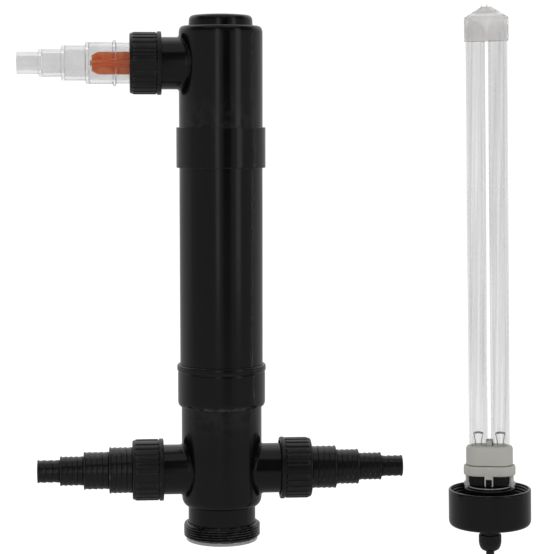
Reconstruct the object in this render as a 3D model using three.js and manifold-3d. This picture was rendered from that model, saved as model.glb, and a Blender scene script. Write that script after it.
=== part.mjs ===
// UV clarifier: a pipe reactor with three hose unions, and beside it the lamp unit that is drawn
// out of its neck. Millimetres, +Z up. Heights count from the foot of the reactor's neck, and the
// whole group is then lowered so that the origin is on the pipe's axis where its clip holds it.
import * as THREE from "three";
import { mergeVertices } from "three/addons/utils/BufferGeometryUtils.js";
import { ConvexGeometry } from "three/addons/geometries/ConvexGeometry.js";
import Module from "manifold-3d";

const wasm = await Module();
wasm.setup();

// ---- driving dimensions ----
const GAP = 0.3; // clearance between touching pieces
const CLIP_HEIGHT = 250; // the pipe clip above the foot of the neck
const BIG = 28; // facets round the large bodies
const SMALL = 16; // facets round the small ones
const TINY = 8; // facets round pins and axles

const PIPE = { r: 37.5, bore: 34, low: 142.6, high: 358 };
const CROSS = { r: 36.4, bore: 32.4, top: 142, port: 65.4, shoulder: 41 };
const NECK = { r: 30.6, bore: 28, low: 3.6, high: 32.4 };
const TEE = { r: 37.6, bore: 33.5, low: 359, high: 466.9, port: 433.7, mouth: 29.05 };
const LOW_COUPLING = { r: 39.65, lip: 40.3, low: 124.7, high: 162.3 };
const TOP_COUPLING = { r: 40.15, low: 340.4, high: 376.6 };
const PLUG = { r: 28.75, high: 477.5, spigot: 452, recess: 26.4, recessTop: 473.6 };
const COLLAR = { r: 34.85, root: 33.6, high: 16.5, ridges: 4 };
const RETAINER = { r: 32.6, bore: 24.2, high: 3.3 };
const SLEEVE = { r: 25.3, bore: 23.9, dome: 447.7 };

// A union counts its lengths along the port, outwards from the reactor's axis.
const PORT = { bore: 18, collar: 24.9, collarLow: 57.5, face: 70 };
const LOW_PORT_R = 22.65;
const TOP_PORT_R = 23.35;
const SEAL = { r: 23.4, bore: 18.6, low: 70.3, high: 72.3 };
const FLANGE = { r: 23.7, low: 72.6, high: 76.6 };
const NUT = { low: 53.2, ring: 57, high: 81.5, shoulder: 76.9, r: 28.3, grip: 27.9, root: 27.1, bore: 25.3, hole: 21.6 };
const TAIL_WALL = 3;

// Each hosetail as the outer radius of its steps and where each step ends, from the nut outwards.
const LEFT_STEPS = [[21.0, 102.7], [17.1, 125.8], [13.4, 147.2], [10.45, 167.6]];
const RIGHT_STEPS = [[19.5, 104.6], [16.0, 125.5], [12.6, 146.6], [9.7, 166.5]];
const CLEAR_STEPS = [[18.45, 120.5], [15.4, 142], [12.1, 162.1], [9.75, 181.5]];
const CLEAR_RIB = { r: 20.4, low: 93.5, high: 96.5 };

const ROTOR = { r: 10.1, hub: 3.2, bore: 1.9, vane: 1.6, low: 77.2, high: 115.2, twist: 0.15 };
const AXLE = { r: 1.5, head: 2.6, low: 73.2, high: 117.2 };
const SPIDER = { r: 15.1, ring: 13.4, hub: 3.6, bore: 1.8, low: 73, high: 76.6, spoke: 1.6 };

// The lamp unit stands beside the reactor, on its own axis, which leans a little.
const UNIT = { x: 246, y: -18, turn: -15, lean: -1.04 };
const CAP = { r: 37.65, bore: 35.4, hole: 8.4, low: 11.9, floor: 16.3, high: 46.3 };
const SEAT = { r: 22.9, groove: 21.2, neck: 8, bore: 4.5, low: 16.6, high: 47.6 };
const DISC = { r: 20.2, bore: 5, low: 47.9, high: 49.6 };
const HOLDER = { half: 9.85, r: 13.8, inner: 10.2, low: 49.9, foot: 50.2, window: 51.4, collar: 59.2, high: 68.3 };
const CORE = { r: 9.9, low: 50.2, high: 66, pinHole: 60.4 };
const BASE = { half: 9.45, r: 11.9, low: 68.6, high: 86.5 };
const TUBE = { x: 10, r: 8.6, bore: 7.7, low: 77, dome: 464.5, bridge: 458, bridgeR: 4.6 };
const TIP = { r: 9.85, low: 453.6, shoulder: 475.8, apex: 484.6, nib: 486.8 };
const PIN_PITCH = 11;
const PIN = { r: 1.15, hole: 1.5, low: 60.8, high: 72.6 };
const GLAND = { r: 10.4, stem: 7.9, bore: 5.9, mouth: 4.1, high: 11.6, hex: 3.8, low: -5 };
const GLAND_NUT = { r: 10.4, bore: 8.3, high: 3.5, low: -11.8 };

// The cable, in the lamp unit's own frame: it drops from the gland, bends aside and is folded
// into a hank that hangs by its own lead, and its last end hangs out of the hank's foot.
const CABLE_R = 3.8;
const CABLE_ROUTE = [
  [0, 0, 14], [0, 0, 8], [0, 0, 2], [0, 0, -4], [0, 0, -10], [0, 0, -16], [0, 0, -22],
  [0, 0, -28], [0, 0, -33], [-0.2, 0, -38], [-0.8, 0, -43], [-1.9, 0.1, -47.5],
  [-3.6, 0.2, -51.8], [-5.9, 0.3, -55.8], [-8.2, 0.4, -59],
];
const HANK = { fold: 23, high: -89, low: -179, turns: 4, pitch: 8.2, front: 1.5 };
const TIE = { wall: 1.6, high: -128, low: -140 };
const TAIL = { low: -210, high: -198.2 };
const BOOT = { low: -233, high: -210.3 };
const CONNECTOR = { r: 8, low: -262, high: -233.3 };

// ---- materials ----
const finish = (color, roughness, more = {}) =>
  new THREE.MeshStandardMaterial({ color, roughness, metalness: 0, ...more });
const clear = (color, opacity) => finish(color, 0.08, { transparent: true, opacity });
const PVC = finish(0x141416, 0.3);
const RIBBED = finish(0x121214, 0.42);
const RUBBER = finish(0x0d0d0e, 0.75);
const CABLE_SKIN = finish(0x101011, 0.6);
const QUARTZ = clear(0xeef2f4, 0.25);
const CLEAR_PLASTIC = clear(0xdde0e2, 0.35);
const ORANGE = finish(0xd0551e, 0.3, { transparent: true, opacity: 0.9 });
const WHITE_PLASTIC = finish(0xd6d5d0, 0.45);
const GREY_RING = finish(0x9a9b9d, 0.15);
const STEEL = finish(0xb8babc, 0.25, { metalness: 1 });

// ---- shapes ----
// A round body about +Z from (radius, height) points, which start and end on the axis.
function turned(points, facets = BIG) {
  const profile = points.map(([r, z]) => new THREE.Vector2(r, z));
  return new THREE.LatheGeometry(profile, facets).rotateX(Math.PI / 2);
}

// A round body with a bore: the points go once round its wall, and the ring closes by itself.
const ring = (points, facets = BIG) => turned([...points, points[0]], facets);

// A plain tube.
function tube(r, bore, low, high, facets = BIG) {
  return ring([[bore, low], [r, low], [r, high], [bore, high]], facets);
}

// A plain rod.
const rod = (r, low, high, facets = BIG) => turned([[0, low], [r, low], [r, high], [0, high]], facets);

function block(x, y, low, high, cx = 0, cy = 0) {
  return new THREE.BoxGeometry(x, y, high - low).translate(cx, cy, (low + high) / 2);
}

// A shape with straight sides and round ends, its length along X.
function roundEnded(half, r) {
  const shape = new THREE.Shape();
  shape.absarc(half, 0, r, -Math.PI / 2, Math.PI / 2);
  shape.absarc(-half, 0, r, Math.PI / 2, (3 * Math.PI) / 2);
  shape.closePath();
  return shape;
}

function extruded(shape, low, high, curveSegments = 8) {
  const depth = high - low;
  return new THREE.ExtrudeGeometry(shape, { depth, bevelEnabled: false, curveSegments }).translate(0, 0, low);
}

const stadium = (half, r, low, high) => extruded(roundEnded(half, r), low, high);

// ---- joining and cutting ----
function solid(geometry) {
  const bare = geometry.index ? geometry.toNonIndexed() : geometry.clone();
  bare.deleteAttribute("normal");
  bare.deleteAttribute("uv");
  const merged = mergeVertices(bare, 1e-4);
  const vertProperties = merged.attributes.position.array;
  const triVerts = new Uint32Array(merged.index.array);
  return new wasm.Manifold(new wasm.Mesh({ numProp: 3, vertProperties, triVerts }));
}

function geometryOf(made) {
  const { vertProperties, triVerts } = made.getMesh();
  const geometry = new THREE.BufferGeometry();
  geometry.setAttribute("position", new THREE.BufferAttribute(new Float32Array(vertProperties), 3));
  geometry.setIndex(new THREE.BufferAttribute(new Uint32Array(triVerts), 1));
  geometry.computeVertexNormals();
  return geometry;
}

const joined = (...parts) => parts.map(solid).reduce((a, b) => a.add(b));
const without = (made, ...cutters) => cutters.map(solid).reduce((a, b) => a.subtract(b), made);

// ---- the scene graph ----
const clarifier = new THREE.Group();
clarifier.position.z = -CLIP_HEIGHT;
const lampUnit = new THREE.Group();
lampUnit.position.set(UNIT.x, UNIT.y, 0);
lampUnit.rotation.set(0, THREE.MathUtils.degToRad(UNIT.lean), THREE.MathUtils.degToRad(UNIT.turn), "ZYX");
clarifier.add(lampUnit);

function piece(name, geometry, material, parent = clarifier) {
  const mesh = new THREE.Mesh(geometry, material);
  mesh.name = name;
  parent.add(mesh);
  return mesh;
}

// A group at a port, whose own +Z points outwards along the port.
function portGroup(side, height) {
  const group = new THREE.Group();
  group.position.z = height;
  group.rotation.y = (side * Math.PI) / 2;
  clarifier.add(group);
  return group;
}

// ---- reactor body ----
function makePipe() {
  piece("reactor_pipe", tube(PIPE.r, PIPE.bore, PIPE.low, PIPE.high), PVC);
}

function makeCouplings() {
  const { r, lip, low, high } = LOW_COUPLING;
  const socket = PIPE.r + GAP;
  const step = PIPE.low - GAP;
  const lower = [
    [CROSS.r + GAP, low], [r - 2.6, low], [r - 0.9, low + 1.9], [r, low + 4.6], [r, high - 5.2],
    [lip, high - 4.3], [lip, high - 1.2], [lip - 1.1, high], [socket, high], [socket, step],
    [CROSS.r + GAP, step],
  ];
  piece("lower_coupling", ring(lower), PVC);
  const upper = TOP_COUPLING;
  const bore = TEE.r + GAP;
  const wall = [
    [bore, upper.low], [upper.r - 0.5, upper.low], [upper.r, upper.low + 0.8],
    [upper.r, upper.high - 0.8], [upper.r - 0.5, upper.high], [bore, upper.high],
  ];
  piece("upper_coupling", ring(wall), PVC);
}

// A port's tube and its threaded collar, out to a length on each side of the reactor's axis.
function port(r, height, from) {
  const { collar, collarLow, face } = PORT;
  const wall = [[0, from], [r, from], [r, collarLow], [collar, collarLow], [collar, face], [0, face]];
  return turned(wall, 24).rotateY(Math.PI / 2).translate(0, 0, height);
}

function makeLowerCross() {
  const { r, bore, top, shoulder } = CROSS;
  const rise = shoulder - NECK.high;
  const outside = turned([
    [0, NECK.low], [NECK.r, NECK.low], [NECK.r, NECK.high], [NECK.r + 3, NECK.high + 0.22 * rise],
    [NECK.r + 4.9, NECK.high + 0.55 * rise], [r, shoulder], [r, top], [0, top],
  ]);
  const inside = turned([
    [0, NECK.low - 1], [NECK.bore, NECK.low - 1], [NECK.bore, NECK.high + 4], [bore, shoulder + 4],
    [bore, top + 1], [0, top + 1],
  ]);
  const right = port(LOW_PORT_R, CROSS.port, 0);
  const left = port(LOW_PORT_R, CROSS.port, 0).rotateZ(Math.PI);
  const water = rod(PORT.bore, -PORT.face - 1, PORT.face + 1).rotateY(Math.PI / 2);
  const body = without(joined(outside, right, left), inside, water.translate(0, 0, CROSS.port));
  piece("lower_cross", geometryOf(body), PVC);
}

function makeUpperTee() {
  const { r, bore, low, high, mouth } = TEE;
  const outside = turned([
    [0, low], [r, low], [r, high - 6.2], [r - 0.8, high - 3.3], [r - 2.7, high - 1.2],
    [r - 5.6, high - 0.2], [mouth + 1, high], [0, high],
  ]);
  const inside = turned([
    [0, low - 1], [bore, low - 1], [bore, high - 9], [mouth, high - 7], [mouth, high + 1], [0, high + 1],
  ]);
  const left = port(TOP_PORT_R, TEE.port, 0).rotateZ(Math.PI);
  const water = rod(PORT.bore, -PORT.face - 1, -bore / 2).rotateY(Math.PI / 2);
  const body = without(joined(outside, left), inside, water.translate(0, 0, TEE.port));
  piece("upper_tee", geometryOf(body), PVC);
}

function makeTopPlug() {
  const { r, high, spigot, recess, recessTop } = PLUG;
  const wall = [
    [0, recessTop], [recess - 2, recessTop], [recess, recessTop - 2], [recess, spigot], [r, spigot],
    [r, TEE.high], [r - 1.2, high - 4.2], [r - 3.2, high - 1.8], [r - 5.8, high - 0.7],
    [r / 2, high - 0.1], [0, high],
  ];
  piece("top_plug", turned(wall), PVC);
}

function makeNeckCollar() {
  const { r, root, high, ridges } = COLLAR;
  const bore = NECK.r + GAP + 0.05;
  const pitch = (high - NECK.low - 1.2) / ridges;
  const wall = [[bore, NECK.low]];
  for (let i = 0; i < ridges; i++) {
    const z = NECK.low + i * pitch;
    wall.push([root, z], [r, z + 0.5 * pitch]);
  }
  wall.push([root, high - 1.2], [root, high], [bore, high]);
  piece("neck_thread_collar", ring(wall), RIBBED);
}

// ---- quartz sleeve ----
function makeSleeve() {
  const { r, bore, dome } = SLEEVE;
  const arcs = 4;
  const wall = [];
  for (let i = 0; i <= arcs; i++) {
    const a = (i * Math.PI) / (2 * arcs);
    wall.push([r * Math.cos(a), dome + r * Math.sin(a)]);
  }
  wall[arcs][0] = 0;
  const inner = wall.map(([x, z]) => [(x * bore) / r, dome + ((z - dome) * bore) / r]).reverse();
  const profile = [...inner, [bore, NECK.low], [r, NECK.low], ...wall];
  piece("quartz_sleeve", turned(profile, 24), QUARTZ);
  const mouth = [
    [RETAINER.bore, 0], [RETAINER.r - 0.7, 0], [RETAINER.r, 0.7], [RETAINER.r, RETAINER.high],
    [RETAINER.bore, RETAINER.high],
  ];
  piece("sleeve_retaining_ring", ring(mouth), GREY_RING);
  piece("sleeve_o_ring", tube(NECK.bore - GAP, r + GAP, 6, 8.2), RUBBER);
}

// ---- hose unions ----
function makeHosetail(name, steps, material, parent, rib = null) {
  const outer = [[FLANGE.r, FLANGE.low], [FLANGE.r, FLANGE.high], [steps[0][0], FLANGE.high]];
  const inner = [];
  steps.forEach(([r, end], i) => {
    const next = steps[i + 1];
    if (i === 0 && rib)
      outer.push([r, rib.low], [rib.r, rib.low], [rib.r, rib.high], [r, rib.high]);
    outer.push([r, end]);
    if (next) outer.push([next[0], end]);
    const start = i === 0 ? FLANGE.low : steps[i - 1][1] - TAIL_WALL;
    inner.push([r - TAIL_WALL, start], [r - TAIL_WALL, next ? end - TAIL_WALL : end]);
  });
  piece(name, ring([...outer, ...inner.reverse()], SMALL), material, parent);
}

function makeNut(name, parent) {
  const { low, ring: step, high, shoulder, r, grip, root, bore, hole } = NUT;
  const wall = [
    [bore, low], [r, low], [r, step], [grip, step], [grip, high - 3], [root, high], [hole, high],
    [hole, shoulder], [bore, shoulder],
  ];
  piece(name, ring(wall), RIBBED, parent);
}

function makeSeal(name, parent) {
  piece(name, tube(SEAL.r, SEAL.bore, SEAL.low, SEAL.high), RUBBER, parent);
}

function makeUnions() {
  const left = portGroup(-1, CROSS.port);
  makeHosetail("left_hosetail", LEFT_STEPS, PVC, left);
  const right = portGroup(1, CROSS.port);
  makeHosetail("right_hosetail", RIGHT_STEPS, PVC, right);
  const upper = portGroup(-1, TEE.port);
  makeHosetail("clear_hosetail", CLEAR_STEPS, CLEAR_PLASTIC, upper, CLEAR_RIB);
  for (const [side, group] of Object.entries({ left, right, upper })) {
    makeSeal(side + "_union_seal", group);
    makeNut(side + "_union_nut", group);
  }
  makeIndicator(upper);
}

// ---- flow indicator ----
function crossOutline(hub, vane, r, arms) {
  const shape = new THREE.Shape();
  const meet = Math.asin(vane / 2 / hub);
  const edge = Math.asin(vane / 2 / r);
  for (let i = 0; i < arms; i++) {
    const a = (i * 2 * Math.PI) / arms;
    [[hub, a - meet], [r, a - edge], [r, a + edge], [hub, a + meet]].forEach(([d, t], j) => {
      const go = i + j === 0 ? "moveTo" : "lineTo";
      shape[go](d * Math.cos(t), d * Math.sin(t));
    });
  }
  shape.closePath();
  return shape;
}

function makeIndicator(parent) {
  const { r, hub, bore, vane, low, high, twist } = ROTOR;
  const depth = high - low;
  const options = { depth, steps: 4, bevelEnabled: false };
  const vanes = new THREE.ExtrudeGeometry(crossOutline(hub, vane, r, 4), options).translate(0, 0, low);
  const at = vanes.attributes.position;
  for (let i = 0; i < at.count; i++) {
    const a = (twist * (at.getZ(i) - low)) / depth;
    const [x, y] = [at.getX(i), at.getY(i)];
    at.setXY(i, x * Math.cos(a) - y * Math.sin(a), x * Math.sin(a) + y * Math.cos(a));
  }
  const envelope = turned([[0, low - 1], [r, low - 1], [r, high - 5.8], [r - 3.2, high], [0, high]], SMALL);
  const wheel = without(solid(vanes).intersect(solid(envelope)), rod(bore, low - 1, high + 1, TINY));
  piece("flow_rotor", geometryOf(wheel), ORANGE, parent);
  const shaft = [
    [0, AXLE.low], [AXLE.r, AXLE.low], [AXLE.r, high + GAP], [AXLE.head, high + GAP],
    [AXLE.head, AXLE.high - 0.4], [AXLE.head - 0.4, AXLE.high], [0, AXLE.high],
  ];
  piece("indicator_axle", turned(shaft, TINY), STEEL, parent);
  const rim = tube(SPIDER.r, SPIDER.ring, SPIDER.low, SPIDER.high, SMALL);
  const spokes = extruded(crossOutline(SPIDER.hub, SPIDER.spoke, SPIDER.ring + 0.6, 3), SPIDER.low, SPIDER.high);
  const spider = without(joined(rim, spokes), rod(SPIDER.bore, SPIDER.low - 1, SPIDER.high + 1, TINY));
  piece("indicator_spider", geometryOf(spider), CLEAR_PLASTIC, parent);
}

// ---- lamp unit: cap, seat and holder ----
function makeCap() {
  const { r, bore, hole, low, floor, high } = CAP;
  const thread = { crest: bore - 1, high: high - 2, pitch: 4, turns: 2 };
  const wall = [[hole, low], [r - 4.4, low], [r - 1.3, low + 1.3], [r, low + 4.4], [r, high], [bore, high]];
  for (let i = 0; i < thread.turns; i++) {
    const z = thread.high - i * thread.pitch;
    wall.push([bore, z], [thread.crest, z - 1], [bore, z - 2]);
  }
  wall.push([bore, floor], [hole, floor]);
  piece("screw_cap", ring(wall), PVC, lampUnit);
  piece("cap_seal", tube(34, 24.4, floor + GAP, floor + GAP + 1.8), RUBBER, lampUnit);
}

function makeSeat() {
  const { r, groove, neck, bore, low, high } = SEAT;
  const wall = [
    [bore, CAP.low], [neck, CAP.low], [neck, low], [r, low], [r, 33.4], [groove, 33.4], [groove, 37.2],
    [r, 37.2], [r, high], [bore, high],
  ];
  piece("lamp_seat", ring(wall), PVC, lampUnit);
  piece("seat_o_ring", tube(r + 0.6, groove + GAP, 33.7, 36.9), RUBBER, lampUnit);
  piece("seat_disc", tube(DISC.r, DISC.bore, DISC.low, DISC.high), GREY_RING, lampUnit);
}

function makeHolder() {
  const { half, r, inner, low, foot, window, collar, high } = HOLDER;
  const shell = joined(stadium(half, r - 1.6, low, high), stadium(half, r, collar, high), stadium(half, r, foot, window));
  const cutters = [stadium(half, inner, low - 1, high + 1), block(5, 40, window - 0.4, window + 5.2)];
  for (const side of [-1, 1]) cutters.push(block(13, 40, window, collar, side * 10.9));
  piece("lamp_holder", geometryOf(without(shell, ...cutters)), WHITE_PLASTIC, lampUnit);
  const core = solid(stadium(half, CORE.r, CORE.low, CORE.high));
  const holes = pinPlaces().map((x) => rod(PIN.hole, CORE.pinHole, CORE.high + 1, TINY).translate(x, 0, 0));
  piece("socket_core", geometryOf(without(core, ...holes)), RUBBER, lampUnit);
}

const pinPlaces = () => [-1.5, -0.5, 0.5, 1.5].map((n) => n * PIN_PITCH);

// ---- lamp ----
function makeLampBase() {
  const { half, r, low, high } = BASE;
  const body = joined(
    stadium(half, r, low, high - 2.4), stadium(half, r - 0.7, high - 2.6, high - 0.9),
    stadium(half, r - 2.2, high - 1.1, high), block(5, 8, high - 0.5, high + 5),
  );
  const sockets = [-1, 1].map((side) => rod(TUBE.r + GAP, TUBE.low - GAP, high + 7, SMALL).translate(side * TUBE.x, 0, 0));
  const holes = pinPlaces().map((x) => rod(PIN.hole, low - 1, PIN.high + GAP, TINY).translate(x, 0, 0));
  piece("lamp_base", geometryOf(without(body, ...sockets, ...holes)), WHITE_PLASTIC, lampUnit);
  pinPlaces().forEach((x, i) => {
    const pin = [[0, PIN.low], [PIN.r - 0.5, PIN.low], [PIN.r, PIN.low + 0.8], [PIN.r, PIN.high], [0, PIN.high]];
    piece("contact_pin_" + (i + 1), turned(pin, TINY).translate(x, 0, 0), STEEL, lampUnit);
  });
}

// A tube of the lamp with a round top, as a rod.
function capsule(r, low, dome, x) {
  const arcs = 4;
  const wall = [[0, low], [r, low]];
  for (let i = 0; i <= arcs; i++) {
    const a = (i * Math.PI) / (2 * arcs);
    wall.push([i === arcs ? 0 : r * Math.cos(a), dome + r * Math.sin(a)]);
  }
  return turned(wall, SMALL).translate(x, 0, 0);
}

function makeLampGlass() {
  const { x, r, bore, low, dome, bridge, bridgeR } = TUBE;
  const across = (radius) => rod(radius, -x, x, 10).rotateY(Math.PI / 2).translate(0, 0, bridge);
  const outside = joined(capsule(r, low, dome, -x), capsule(r, low, dome, x), across(bridgeR));
  const inside = [capsule(bore, low - 1, dome, -x), capsule(bore, low - 1, dome, x), across(bridgeR - 0.9)];
  piece("lamp_glass", geometryOf(without(outside, ...inside)), QUARTZ, lampUnit);
}

function makeTipCap() {
  const { r, low, shoulder, apex, nib } = TIP;
  const rim = roundEnded(TUBE.x, r).getPoints(6);
  const roof = rim.map((p) => new THREE.Vector3(p.x, p.y, shoulder - 0.2));
  roof.push(new THREE.Vector3(3.6, 0, apex), new THREE.Vector3(-3.6, 0, apex));
  const point = turned([[0, apex - 2], [1.6, apex - 2], [0.5, nib], [0, nib]], 8);
  const inside = stadium(TUBE.x, TUBE.r + GAP, low - 1, shoulder - 1.6);
  const body = joined(stadium(TUBE.x, r, low, shoulder), new ConvexGeometry(roof), point);
  piece("lamp_tip_cap", geometryOf(without(body, inside)), CLEAR_PLASTIC, lampUnit);
}

function makeFilaments() {
  const places = { left: -TUBE.x, right: TUBE.x };
  const section = new THREE.Shape().absarc(0, 0, 0.5, 0, 2 * Math.PI);
  for (const [side, x] of Object.entries(places)) {
    const wire = [[-1.6, 78], [-1.9, 84], [-3.4, 92], [-5.2, 98.5], [-4, 100], [0, 100.4], [4, 100]];
    wire.push([5.2, 98.5], [3.4, 92], [1.9, 84], [1.6, 78]);
    const path = new THREE.CatmullRomCurve3(wire.map(([dx, z]) => new THREE.Vector3(x + dx, 0, z)));
    const options = { steps: 14, extrudePath: path, curveSegments: 3 };
    piece("filament_" + side, new THREE.ExtrudeGeometry(section, options), STEEL, lampUnit);
  }
}

// ---- cable gland and cable ----
const hexagon = (r, low, high) => rod(r, low, high, 6);

function makeGland() {
  const { r, stem, bore, mouth, high, hex, low } = GLAND;
  const body = without(joined(hexagon(r, hex, high), rod(stem, low, hex + 1, SMALL)),
    rod(bore, low - 1, high - 2.4, SMALL), rod(mouth, low, high + 1, SMALL));
  piece("gland_body", geometryOf(body), PVC, lampUnit);
  piece("gland_seal", tube(bore - GAP, mouth, low - 3.6, high - 3, SMALL), RUBBER, lampUnit);
  const nut = GLAND_NUT;
  const dome = turned([
    [0, nut.low], [5.6, nut.low], [8.2, nut.low + 1.6], [9.7, nut.low + 4.6], [nut.r, nut.low + 8],
    [nut.r, nut.high], [0, nut.high],
  ], SMALL);
  const grip = hexagon(nut.r + 0.2, nut.low - 1, nut.high + 1);
  const hollow = turned([
    [0, nut.low - 1], [mouth, nut.low - 1], [mouth, nut.low + 2.6], [bore, nut.low + 2.6],
    [nut.bore, nut.low + 5.4], [nut.bore, nut.high + 1], [0, nut.high + 1],
  ], SMALL);
  const outside = solid(dome).intersect(solid(grip));
  piece("gland_nut", geometryOf(without(outside, hollow)), PVC, lampUnit);
}

function makeCable() {
  const section = new THREE.Shape().absarc(0, 0, CABLE_R, 0, 2 * Math.PI);
  const path = new THREE.CatmullRomCurve3(CABLE_ROUTE.map((p) => new THREE.Vector3(...p)));
  const lead = new THREE.ExtrudeGeometry(section, { steps: 14, extrudePath: path, curveSegments: 5 });
  piece("cable", lead, CABLE_SKIN, lampUnit);

  const { fold, high, low, turns, pitch, front } = HANK;
  const middle = (high + low) / 2;
  const outline = roundEnded((high - low) / 2, fold + CABLE_R);
  outline.holes.push(roundEnded((high - low) / 2, fold - CABLE_R));
  const depth = turns * pitch + 2 * CABLE_R;
  const stand = (geometry) => geometry.rotateZ(Math.PI / 2).rotateX(Math.PI / 2);
  const hank = stand(extruded(outline, -depth / 2, depth / 2, 8));
  const behind = front + (turns * pitch) / 2;
  piece("cable_hank", hank.translate(0, behind, middle), CABLE_SKIN, lampUnit);

  const inner = { x: fold + CABLE_R + GAP + 0.1, y: depth / 2 + GAP + 0.1 };
  const strap = new THREE.Shape();
  const around = (path, x, y, r) => {
    path.absarc(x - r, y - r, r, 0, Math.PI / 2);
    path.absarc(r - x, y - r, r, Math.PI / 2, Math.PI);
    path.absarc(r - x, r - y, r, Math.PI, 1.5 * Math.PI);
    path.absarc(x - r, r - y, r, 1.5 * Math.PI, 2 * Math.PI);
    path.closePath();
    return path;
  };
  around(strap, inner.x + TIE.wall, inner.y + TIE.wall, 2.6);
  strap.holes.push(around(new THREE.Path(), inner.x, inner.y, 1));
  piece("cable_tie", extruded(strap, TIE.low, TIE.high, 4).translate(0, behind, 0), RUBBER, lampUnit);

  const end = { x: -fold, y: front + turns * pitch };
  const hang = (name, geometry, material) => piece(name, geometry.translate(end.x, end.y, 0), material, lampUnit);
  hang("cable_tail", rod(CABLE_R, TAIL.low, TAIL.high, 10), CABLE_SKIN);
  const boot = [[0, BOOT.low], [6.6, BOOT.low], [6.4, BOOT.low + 6], [4.9, BOOT.high], [0, BOOT.high]];
  hang("connector_boot", turned(boot, SMALL), RUBBER);
  const { r, low: foot, high: top } = CONNECTOR;
  const plug = [[0, foot + 12], [5.6, foot + 12], [5.6, foot], [r - 0.8, foot], [r, foot + 0.8], [r, top - 1.5]];
  hang("cable_connector", turned([...plug, [r - 1, top], [0, top]], SMALL), PVC);
}

makePipe();
makeCouplings();
makeLowerCross();
makeUpperTee();
makeTopPlug();
makeNeckCollar();
makeSleeve();
makeUnions();
makeCap();
makeSeat();
makeHolder();
makeLampBase();
makeLampGlass();
makeTipCap();
makeFilaments();
makeGland();
makeCable();

export default clarifier;
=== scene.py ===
import math

import bmesh
import bpy
from mathutils import Matrix, Vector


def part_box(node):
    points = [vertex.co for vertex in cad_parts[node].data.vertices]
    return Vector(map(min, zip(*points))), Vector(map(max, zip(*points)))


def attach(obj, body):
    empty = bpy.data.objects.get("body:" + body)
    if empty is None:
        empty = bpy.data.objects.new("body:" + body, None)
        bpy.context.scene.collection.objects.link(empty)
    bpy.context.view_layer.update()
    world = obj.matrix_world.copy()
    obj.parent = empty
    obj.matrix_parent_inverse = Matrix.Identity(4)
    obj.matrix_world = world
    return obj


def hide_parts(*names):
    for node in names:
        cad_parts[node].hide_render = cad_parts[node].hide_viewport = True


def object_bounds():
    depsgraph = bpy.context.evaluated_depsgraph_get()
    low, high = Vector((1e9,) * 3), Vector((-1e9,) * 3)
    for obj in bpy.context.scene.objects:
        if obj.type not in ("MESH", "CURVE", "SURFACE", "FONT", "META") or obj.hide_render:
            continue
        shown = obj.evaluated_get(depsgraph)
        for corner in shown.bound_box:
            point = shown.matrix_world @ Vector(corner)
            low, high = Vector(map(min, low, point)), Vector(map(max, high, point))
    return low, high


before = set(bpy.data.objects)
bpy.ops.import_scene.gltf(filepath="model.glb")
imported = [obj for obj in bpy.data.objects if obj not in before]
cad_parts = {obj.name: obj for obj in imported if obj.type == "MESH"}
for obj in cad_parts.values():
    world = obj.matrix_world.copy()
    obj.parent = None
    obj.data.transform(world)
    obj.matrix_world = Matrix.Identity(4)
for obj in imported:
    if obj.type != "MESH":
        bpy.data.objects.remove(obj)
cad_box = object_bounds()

MM = 0.001
TAU = 2 * math.pi


def mid(node):
    low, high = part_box(node)
    return (Vector(low) + Vector(high)) / 2


# ---- where things are, from the frame ----
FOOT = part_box("sleeve_retaining_ring")[0][2]
TURN, LEAN = math.radians(-15), math.radians(-1.04)  # of the lamp unit, about Z and then its own Y
UNIT_TURN = Matrix.Rotation(TURN, 4, "Z") @ Matrix.Rotation(LEAN, 4, "Y")
CAP_MIDDLE = 0.0291  # the screw cap's middle, up the lamp unit's own axis
UNIT_FOOT = mid("screw_cap") - UNIT_TURN @ Vector((0, 0, CAP_MIDDLE))
LOW_PORT = mid("left_union_nut").z
TOP_PORT = mid("upper_union_nut").z

REACTOR = Matrix.Translation((0, 0, FOOT)) @ Matrix.Scale(MM, 4)
UNIT = Matrix.Translation(UNIT_FOOT) @ UNIT_TURN @ Matrix.Scale(MM, 4)


def port_frame(side, height):
    """A port's own frame, +Z outwards."""
    turn = Matrix.Rotation(side * math.pi / 2, 4, "Y")
    return Matrix.Translation((0, 0, height)) @ turn @ Matrix.Scale(MM, 4)


LEFT = port_frame(-1, LOW_PORT)
RIGHT = port_frame(1, LOW_PORT)
UPPER = port_frame(-1, TOP_PORT)

# ---- camera ----
CAMERA_AT = (-0.0913, -1.6228, FOOT + 0.3892)
CAMERA_DOWN, CAMERA_TURN = 5.2, -5  # degrees below level, and about Z
FOCAL_PX = 1800
FRAME_PX = 554

lens = bpy.data.cameras.new("camera")
lens.sensor_width = 36
lens.lens = 36 * FOCAL_PX / FRAME_PX
lens.clip_start = 0.05
camera = bpy.data.objects.new("camera", lens)
camera.location = CAMERA_AT
camera.rotation_euler = (math.radians(90 - CAMERA_DOWN), 0, math.radians(CAMERA_TURN))
bpy.context.scene.collection.objects.link(camera)
bpy.context.scene.camera = camera


# ---- materials ----
def node(tree, kind, **values):
    made = tree.nodes.new(kind)
    for key, value in values.items():
        setattr(made, key, value)
    return made


def noise(tree, scale, detail=4.0, stretch=(1, 1, 1), distortion=0.0):
    """A noise value over the row's own coordinates."""
    coords = node(tree, "ShaderNodeTexCoord")
    mapping = node(tree, "ShaderNodeMapping")
    mapping.inputs["Scale"].default_value = stretch
    made = node(tree, "ShaderNodeTexNoise")
    made.inputs["Scale"].default_value = scale
    made.inputs["Detail"].default_value = detail
    made.inputs["Distortion"].default_value = distortion
    tree.links.new(coords.outputs["Object"], mapping.inputs["Vector"])
    tree.links.new(mapping.outputs["Vector"], made.inputs["Vector"])
    return made.outputs["Fac"]


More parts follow.
